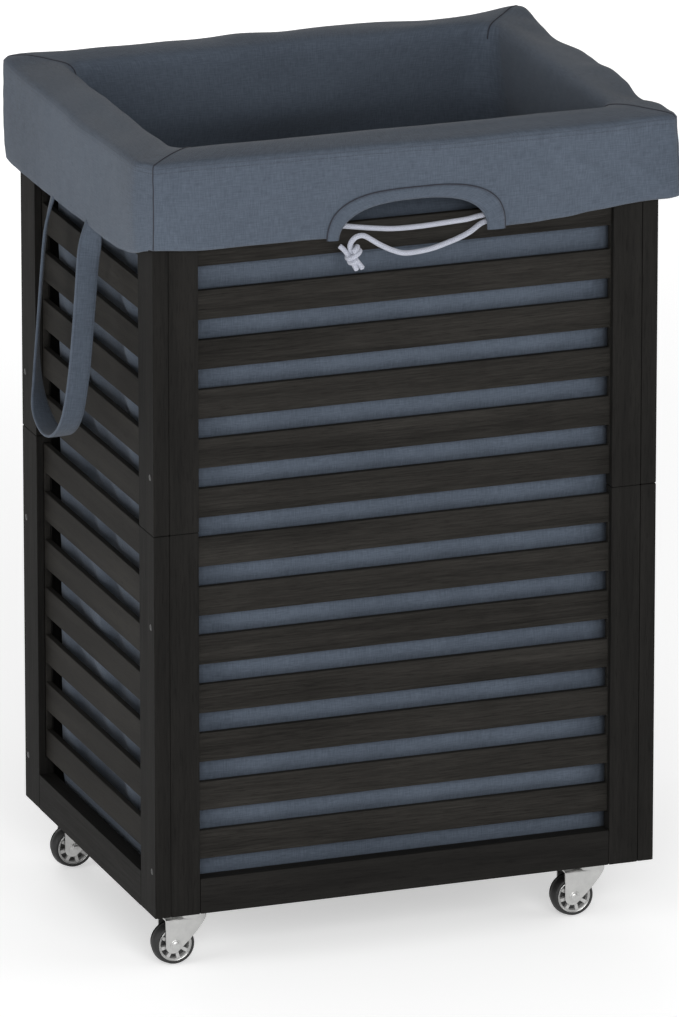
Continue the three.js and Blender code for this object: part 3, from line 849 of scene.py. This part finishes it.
def add_casters():
    fork_verts, fork_faces = fork_shell()
    shell = add_object("fork_shell", fork_verts, fork_faces, zinc)
    solidify = shell.modifiers.new("steel", "SOLIDIFY")
    solidify.thickness = FORK_STEEL * MM
    solidify.offset = -1
    add_bevel(shell, 0.3, 50)
    details = add_object("fork_details", *joined([rivet(-1), rivet(1), *axle_and_race()]), zinc)
    sharpen(details, 40)
    tyre = add_object("tyre", *tyre_shape(), rubber)
    sharpen(tyre, 60)
    grey, bright, dark = hub_shapes()
    hub = coloured_object("hub", [(grey, hub_grey), (bright, zinc), (dark, painted_recess_shade)])
    sharpen(hub, 35)
    pieces = (
        (shell, "fork", "fork", "caster_fork", "caster_steel"),
        (details, "fork_rivets", "fork", None, "caster_steel"),
        (hub, "hub", "wheel", "wheel_hub", "wheel_hub"),
        (tyre, "tyre", "wheel", "wheel_tyre", "wheel_tyre"),
    )
    for corner, (x, y) in CORNERS.items():
        for source, name, body, node, slot in pieces:
            piece = source.copy()
            piece.name = f"{name}_{corner}"
            piece.location = (x * MM, y * MM, 0)
            add_to_scene(piece)
            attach(piece, f"{body}_{corner}")
            if node:
                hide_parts(f"{node}_{corner}")
    for source in (shell, details, tyre, hub):
        bpy.data.objects.remove(source)


add_casters()


# Liner. Its section runs from the bag's bottom up the walls, over the rim and down to the cuff's hem.
# Each stop is the offset outward from the frame's face, the height, and the radius of the corners there.

WALL_SECTION = [
    (-60, 69.4, 20), (-34, 69.8, 34), (-23, 72, 40),
    (-18.8, 82, 42), (-17.4, 110, 42), (-17.4, 240, 42),
    (-17.4, 400, 42), (-17.4, 560, 42), (-17.4, 630, 40),
]
CUFF_SECTION = [
    (-17.4, 630, 40), (-23, 650, 38), (-29, 672, 34), (-31.5, 700, 28),
    (-32.2, 722, 22), (-31, 730.5, 20), (-26.5, 735, 18), (-15, 736.6, 16),
    (-2, 735.6, 13), (8.6, 733.6, 11), (12.2, 731.9, 9.5), (13.1, 728.6, 9),
    (13.2, 716, 9), (13.4, 690, 9), (13.0, 668, 9), (12.4, 654, 9),
    (12.0, 648, 9), (11.0, 646, 9), (9.6, 647, 9), (9.2, 654, 9),
    (9.2, 668, 9),
]
FRONT_COLUMNS = 101
SIDE_COLUMNS = 75
CORNER_COLUMNS = 15


def ring_columns():
    """For each column round the liner: its place along its side, or its angle in a corner."""
    columns = []
    for side, count in enumerate((FRONT_COLUMNS, SIDE_COLUMNS, FRONT_COLUMNS, SIDE_COLUMNS)):
        for f in np.linspace(-1, 1, count):
            columns.append((side, f, False))
        for f in np.linspace(0, 1, CORNER_COLUMNS + 2)[1:-1]:
            columns.append((side, f, True))
    return columns


RING = ring_columns()
SEAM_PLACE = (0.5, 0.5, 0.5, 15 / 16)  # of each corner's turn, from the side before it to the side after it
SEAM_COLUMNS = [i for i, c in enumerate(RING) if c[2] and abs(c[1] - SEAM_PLACE[c[0]]) < 1e-6]


def ring(offset, radius):
    """(points, outward normals) of a rounded rectangle at that offset from the frame's faces."""
    half = np.array([HALF_WIDTH + offset, HALF_DEPTH + offset])
    points = np.zeros((len(RING), 2))
    normals = np.zeros((len(RING), 2))
    for i, (side, f, corner) in enumerate(RING):
        along, out = half if side % 2 == 0 else half[::-1]
        if corner:
            angle = f * math.pi / 2
            local = (along - radius + radius * math.sin(angle), -(out - radius) - radius * math.cos(angle))
            normal = (math.sin(angle), -math.cos(angle))
        else:
            local = (f * (along - radius), -out)
            normal = (0, -1)
        c, s = ((1, 0), (0, 1), (-1, 0), (0, -1))[side]
        for table, (a, b) in ((points, local), (normals, normal)):
            table[i] = (a * c - b * s, a * s + b * c)
    return points, normals


# The hem's height, as stops along each side: (x or y, height). Neighbouring sides share a corner's height.
HEM_FRONT = [
    (-242, 658), (-222, 656.6), (-187, 653.6), (-140, 653.6), (-77, 652.8), (0, 650),
    (85, 648.7), (125, 650), (160, 653), (200, 657.5), (242, 661),
]
HEM_BACK = [
    (-242, 651), (-170, 651), (-125, 650), (-85, 648.7), (0, 650),
    (77, 652.8), (140, 653.6), (190, 653.6), (242, 655),
]
HEM_LEFT = [
    (-188, 658), (-176, 654.5), (-158, 649), (-134, 644.5),
    (-103, 641.8), (0, 641), (165, 641.5), (188, 651),
]
HEM_RIGHT = [
    (-188, 661), (-170, 657), (-150, 651), (-125, 645.5),
    (-95, 642), (0, 641), (150, 642.5), (188, 655),
]


# The same stops joined by smooth curves, each as its places and its heights.
HEM_CURVES = [spline(stops, 2).T for stops in (HEM_FRONT, HEM_BACK, HEM_LEFT, HEM_RIGHT)]


def hem_height(x, y):
    """Height of the cuff's lower edge. It hangs lowest in the middle of a side and rises to the corners."""
    front, back, left, right = HEM_CURVES
    lengthwise = np.where(y < 0, np.interp(x, *front), np.interp(x, *back))
    sideways = np.where(x < 0, np.interp(y, *left), np.interp(y, *right))
    return np.where(np.abs(y) - HALF_DEPTH >= np.abs(x) - HALF_WIDTH, lengthwise, sideways)


def rim_shape(x, y, z, across):
    """(outward, upward) moves of the rim and skirt: soft waves, slack and the bunched right side."""
    high = ramp(z, 700, 730)
    right = ramp(x, 205, 226)
    left = ramp(-x, 205, 226)
    front = ramp(-y, 150, 172)
    back = ramp(y, 150, 172)
    out = 0.6 * ripple(x + y, z * 1.6, 110, 3) + 0.3 * ripple(x - y, z * 2, 38, 5)
    up = high * 0.5 * ripple(x * 1.2, y * 1.2, 120, 8)
    # the right side is slack: it dips between humps
    waves = -3.4 * hill(y, 92, 34) - 4.2 * hill(y, -106, 26) + 1.8 * hill(y, -38, 18)
    waves += 0.5 * ripple(y, across * 1.4, 50, 47)
    up += right * high * waves
    out += right * high * (0.9 * waves)
    out += right * (1 - high) * 2.2 * ripple(y, z, 75, 11)
    # the left side sags a little in the middle
    up -= left * high * 3.5 * hill(y, -20, 90)
    # long shallow waves along the front, stronger towards the right
    lean = x + 0.9 * (z - 700)
    out += front * 1.5 * ramp(x, 60, 160) * ripple(lean, z * 0.8, 46, 17)
    up -= front * high * 2.2 * hill(x, 70, 120)
    # the skirt flares at the front right corner
    low = 1 - ramp(z, 652, 722)
    out += 6.5 * low * ramp(x, 196, 240) * ramp(-y, 150, 186)
    # folds across the back's rim near the right end
    out += back * high * 2.2 * ripple(x - 0.7 * across, across, 60, 23) * ramp(x, 20, 120)
    up += back * high * (1.2 * ripple(x, across, 90, 29) + 1.5 - 3.2 * hill(x, 150, 48))
    # the back right corner stands up a little
    up += 4.0 * high * hill(x, 232, 26) * hill(y, 178, 26)
    return out, up


def wall_shape(x, y, z, normals):
    """Outward moves of the bag's wall: swelling between the slats, slack folds and a drawn-in corner."""
    front_back = np.abs(normals[:, 1]) > 0.7
    place = np.where(front_back, np.abs(x) / 189, np.abs(y) / 138)
    open_part = 1 - ramp(place, 0.74, 0.98)
    phase = 2 * math.pi * (z - FIRST_GAP) / SLAT_PITCH
    swell = np.clip(np.cos(phase), 0, 1) ** 1.3 * ramp(z, 120, 140) * (1 - ramp(z, 600, 640))
    reach = np.where(front_back, 3.4, 3.2) + 0.9 * ripple(x + y, z, 70, 31)
    folds = 1.5 * ripple((x + y) * 1.2, z * 0.3, 60, 37) - 0.8
    slack = (4.0 * ripple(y * 1.3, z * 0.45, 95, 43) - 3.2) * (1 - ramp(np.abs(y), 80, 130))
    folds = np.where(front_back, folds, slack)
    fade = ramp(z, 76, 130) * (1 - ramp(z, 600, 660))
    near_corner = ramp(-x, 150, 186) * ramp(-y, 100, 150)
    return open_part * swell * reach + fade * (np.minimum(folds, 1.0) - 4 * near_corner)


# How far the cloth dips at each column: only at the mitred seam in each corner.
GROOVE = np.zeros(len(RING))
GROOVE[SEAM_COLUMNS] = 1.0


# The cuff's front left corner is folded flat: a facet runs between these two points of its plan.
FACET_FRONT = np.array((-231.6, -189.0))
FACET_SIDE = np.array((-243.0, -168.4))
FACET_SOFTNESS = 1.2


def fold_corner(points):
    """Points that lie outside the facet, moved onto it."""
    run = FACET_SIDE - FACET_FRONT
    outward = np.array((-run[1], run[0])) / np.linalg.norm(run)
    beyond = (points - FACET_FRONT) @ outward
    depth = 0.5 * (beyond + np.sqrt(beyond**2 + FACET_SOFTNESS**2))
    near = np.clip(1 + beyond / 12, 0, 1)
    return points - outward * (depth * near)[:, None]


def section_rings(section, step, cuff):
    """Vertex rows of the liner for one section, and each row's distance along it."""
    line = spline(section, step)
    rows = []
    for offset, height, radius in line:
        points, normals = ring(offset, radius)
        x, y = points[:, 0], points[:, 1]
        z = np.full(len(RING), height)
        outer = ramp(offset, 4, 9) if cuff else 0.0
        hem = (hem_height(x, y) - HEM) * (1 - ramp(height, HEM, 716)) * outer
        z = z + hem
        out = wall_shape(x, y, z, normals) if offset < -10 and height < 665 else 0.0
        if cuff:
            blend = ramp(height, 640, 690) if offset < 0 else 1.0
            rim_out, rim_up = rim_shape(x, y, z, offset)
            inner = offset < -26 and height < 730
            lift = 1.0 if height > 700 else float(ramp(height, 660, 712))
            out = out + blend * rim_out * (0.6 if inner else 1.0)
            z = z + rim_up * lift
            out = out - GROOVE * (1.0 if height > 640 and offset > -27 else 0.3)
        if cuff and offset < -10:
            out = out - 9 * hill(x, 0, 78) * hill(height, 676, 26) * (np.abs(normals[:, 1]) > 0.7)
        moved = points + normals * np.reshape(out, (-1, 1))
        if cuff and offset > -10:
            moved = fold_corner(moved)
        rows.append(np.column_stack([moved, z]))
    return np.array(rows), distances(line[:, :2])


def ring_lengths():
    """Distance of each column round the frame's outline, for the weave."""
    points, _ = ring(0, 12)
    return distances(np.vstack([points, points[:1]]))


ARCH = {"inner": (1.0, 68.0, 36.5, 2.6), "outer": (3.6, 80.5, 46.5, 3.0)}


def arch_inside(x, z, grow):
    """True inside the hand opening, made larger by grow."""
    centre, half, height, power = ARCH["inner"]
    across = np.abs((x - centre) / (half + grow)) ** power
    up = np.clip((z - HEM) / (height + grow), 0, None) ** power
    return across + up < 1


def in_opening(middle):
    """True for a face of the cuff's skirt that lies in a hand opening."""
    x = middle[0] if middle[1] < 0 else -middle[0]
    return abs(middle[1]) > HALF_DEPTH + 4 and middle[2] < 700 and arch_inside(x, middle[2], 5.5)


def liner_mesh(section, step, cuff):
    rows, along = section_rings(section, step, cuff)
    columns = len(RING)
    crease = 0.0
    if cuff:
        line = spline(section, step)
        crease = along[int(np.argmax((line[:, 0] > 11.4) & (line[:, 1] < 731)))]
    lengths = ring_lengths()
    verts = []
    uvs = []
    for row, distance in zip(rows, along):
        for j in range(columns + 1):
            verts.append(tuple(row[j % columns]))
            uvs.append((lengths[j] * MM, (distance - crease) * MM))
    faces = grid_faces(len(rows), columns + 1)
    if cuff:
        faces = [quad for quad in faces if not in_opening(np.mean([verts[k] for k in quad], axis=0))]
    return verts, faces, uvs, rows


CUFF_STEP = 3.6
BOTTOM_ROWS = 14


def add_liner():
    """The bag and its cuff, as one sheet: bottom, walls, rim, skirt and turned-up hem."""
    wall_verts, wall_faces, wall_uvs, _ = liner_mesh(WALL_SECTION, 8, False)
    cuff_verts, cuff_faces, cuff_uvs, cuff_rows = liner_mesh(CUFF_SECTION, CUFF_STEP, True)
    columns = len(RING) + 1
    bottom_verts = []
    bottom_uvs = []
    for share in np.linspace(0.0, 1.0, BOTTOM_ROWS + 1)[:-1]:
        for x, y, _ in wall_verts[:columns]:
            bx, by = x * share, y * share
            fold = 2.2 * ripple(np.array(bx), np.array(by), 90, 41) * (1 - share**4)
            bottom_verts.append((bx, by, 71.5 + float(fold) * 0.9))
            bottom_uvs.append((bx * MM, by * MM))
    # the bottom's last row of faces reaches the first row of the walls
    bottom_faces = grid_faces(BOTTOM_ROWS + 1, columns)
    verts, faces = joined([(bottom_verts, bottom_faces), (wall_verts, wall_faces), (cuff_verts, cuff_faces)])
    liner = add_object("liner_cloth", verts, faces, cuff_cloth, bottom_uvs + wall_uvs + cuff_uvs)
    add_weld(liner, 0.005)
    put_on_liner(liner, "liner_fabric", "liner_bag", "liner_cuff")
    return liner, cuff_rows


liner, cuff_rows = add_liner()


def skirt_profile():
    """Heights and offsets down the skirt's outer face, in rising order."""
    line = spline(CUFF_SECTION, 1.0)
    outer = line[(line[:, 0] > 11.9) & (line[:, 1] < 730)]
    order = np.argsort(outer[:, 1])
    return outer[order, 1], outer[order, 0]


SKIRT_HEIGHTS, SKIRT_OFFSETS = skirt_profile()


def skirt_surface(x, z):
    """The y of the front skirt's outer face at x and z."""
    offset = np.interp(z, SKIRT_HEIGHTS, SKIRT_OFFSETS)
    out, _ = rim_shape(np.array([x]), np.array([-(HALF_DEPTH + offset)]), np.array([z]), offset)
    return -(HALF_DEPTH + offset + float(out[0]))


def arch_point(which, angle):
    """A point (x, z) of one edge of the hand opening's band. The legs end at the hem."""
    centre, half, height, power = ARCH[which]
    c, s = math.cos(angle), abs(math.sin(angle))
    x = centre + math.copysign(half * abs(c) ** (2 / power), c)
    z = HEM + height * s ** (2 / power)
    low = float(hem_height(np.array([x]), np.array([-190.0]))[0]) - 0.6
    return x, max(z, low)


BAND_SECTION = (
    (0.80, -1.5), (0.30, -1.7), (0.05, -1.5), (-0.03, -0.4),
    (-0.02, 0.8), (0.06, 1.7), (0.25, 2.0), (0.50, 2.15),
    (0.75, 2.0), (0.92, 1.7), (0.99, 1.2), (1.02, 0.1),
)


# A seam line: a thin tube in the near-black seam material, which paints the shade of the seam's groove.
def add_seam_line(name, points, radius):
    verts, faces, _ = tube(points, radius, 8)
    seam = add_object(name, verts, faces, thread_and_groove_shade)
    put_on_liner(seam, "liner_fabric")
    return seam


def add_arch_band(side, turn):
    """The folded band sewn round a hand opening, and the seam along its outer edge: its stitching, drawn
    near-black as painted shade of the groove there.
    """
    steps = 90
    angles = [math.pi * (1 - math.cos(math.pi * i / steps)) / 2 for i in range(steps + 1)]
    verts = []
    uvs = []
    seam = []
    length = 0.0
    before = None
    for angle in angles:
        inner = np.array(arch_point("inner", angle))
        outer = np.array(arch_point("outer", angle))
        if before is not None:
            length += float(np.linalg.norm(outer - before))
        before = outer
        for share, out in BAND_SECTION:
            x, z = inner + (outer - inner) * share
            verts.append((x, skirt_surface(x, z) - out, z))
            uvs.append((length * MM, (0.001 + 0.018 * max(share, 0))))
        x, z = inner + (outer - inner) * 1.03
        seam.append((x, skirt_surface(x, z) - 0.45, z))
    faces = [f[::-1] for f in grid_faces(len(angles), len(BAND_SECTION))]
    if turn:
        verts = turned(verts)
        seam = turned(seam)
    band = add_object(f"{side}_opening_band", verts, faces, band_cloth, uvs)
    put_on_liner(band, "liner_fabric")
    return [band, add_seam_line(f"{side}_opening_seam", seam, 0.6)]


opening_trim = add_arch_band("front", False) + add_arch_band("back", True)


def add_corner_seams():
    """A dark seam line in the groove of each mitred corner, from the hem over the rim into the mouth: the
    stitching, coloured near-black as painted shade of the groove.
    """
    line = spline(CUFF_SECTION, CUFF_STEP)
    keep = [i for i, (offset, height, _) in enumerate(line) if height > 722 or offset > 8]
    last = max(i for i in keep if line[i][0] > 10.5)
    for name, column in zip(("front_right", "back_right", "back_left", "front_left"), SEAM_COLUMNS):
        points = [tuple(cuff_rows[i, column]) for i in keep if i <= last]
        add_seam_line(f"corner_seam_{name}", spline(points, 2.0), 0.62)


add_corner_seams()


# Straps


def strap_mesh():
    """A soft folded band along the strap's stops: flat faces with rounded edges."""
    table = [(*at, *across, 0) for at, across in STRAP_STOPS]
    route = spline(table, 4)
    tangent = tangents(route[:, :3])
    half, thick = STRAP_WIDTH / 2, STRAP_THICKNESS / 2
    flat = half - STRAP_ROUNDING
    outline = [(-flat + 2 * flat * i / 6, -thick) for i in range(7)]
    outline += [(half - 0.35, -thick * 0.75), (half, 0), (half - 0.35, thick * 0.75)]
    outline += [(flat - 2 * flat * i / 6, thick) for i in range(7)]
    outline += [(-half + 0.35, thick * 0.75), (-half, 0), (-half + 0.35, -thick * 0.75)]
    verts = []
    uvs = []
    length = 0.0
    for i, row in enumerate(route):
        if i:
            length += float(np.linalg.norm(route[i, :3] - route[i - 1, :3]))
        across = row[3:6] - tangent[i] * (row[3:6] @ tangent[i])
        across /= np.linalg.norm(across)
        normal = np.cross(tangent[i], across)
        cup = 0.5 * math.sin(length / 37) + 0.35 * math.sin(length / 13 + 1)
        for a, b in outline:
            bend = cup * (1 - (a / half) ** 2) * 0.6
            verts.append(row[:3] + across * a + normal * (b + bend))
            uvs.append((length * MM, (a + half) * MM))
    return verts, tube_faces(len(route), len(outline)), uvs


def add_straps():
    for side, sign in (("left", -1), ("right", 1)):
        verts, faces, uvs = strap_mesh()
        if sign > 0:
            verts = turned(verts)
        strap = add_object(f"strap_{side}_band", verts, faces, strap_cloth, uvs)
        sharpen(strap, 80)
        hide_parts(f"strap_{side}")
        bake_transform(strap)


add_straps()


# Floor, light and picture


FLOOR_HALF = 9000


def add_floor():
    corners = [(-FLOOR_HALF, -FLOOR_HALF, 0), (FLOOR_HALF, -FLOOR_HALF, 0)]
    corners += [(FLOOR_HALF, FLOOR_HALF, 0), (-FLOOR_HALF, FLOOR_HALF, 0)]
    floor = add_object("floor", corners, [(0, 1, 2, 3)], floor_material())


def floor_material():
    m = Nodes("pale_floor")
    m.set(Roughness=0.9, Specular_IOR_Level=0.1, Base_Color=(0.9, 0.9, 0.9, 1))
    m.set(Emission_Color=(1, 1, 1, 1), Emission_Strength=0.45)
    return m.material


def add_area(name, place, target, size, watts):
    data = bpy.data.lights.new(name, "AREA")
    data.shape = "RECTANGLE"
    data.size, data.size_y = size
    data.energy = watts
    light = bpy.data.objects.new(name, data)
    light.location = place
    aim = Vector(target) - Vector(place)
    light.rotation_euler = aim.to_track_quat("-Z", "Y").to_euler()
    add_to_scene(light)


def add_light():
    world = bpy.data.worlds.new("studio")
    bpy.context.scene.world = world
    world.use_nodes = True
    background = world.node_tree.nodes["Background"]
    background.inputs["Color"].default_value = (1, 1, 1, 1)
    background.inputs["Strength"].default_value = 0.28
    add_area("key", (-0.6, -3.4, 1.6), (0, 0, 0.42), (2.6, 1.6), 76)
    add_area("left_fill", (-3.4, -0.6, 1.2), (0, 0, 0.4), (2.2, 1.6), 34)
    add_area("right_fill", (3.2, -1.6, 1.2), (0, 0, 0.4), (2.0, 1.6), 20)
    add_area("back_fill", (0.4, 3.4, 1.2), (0, 0, 0.4), (2.2, 1.6), 26)


add_floor()
add_light()
bpy.context.scene.view_settings.view_transform = "Standard"
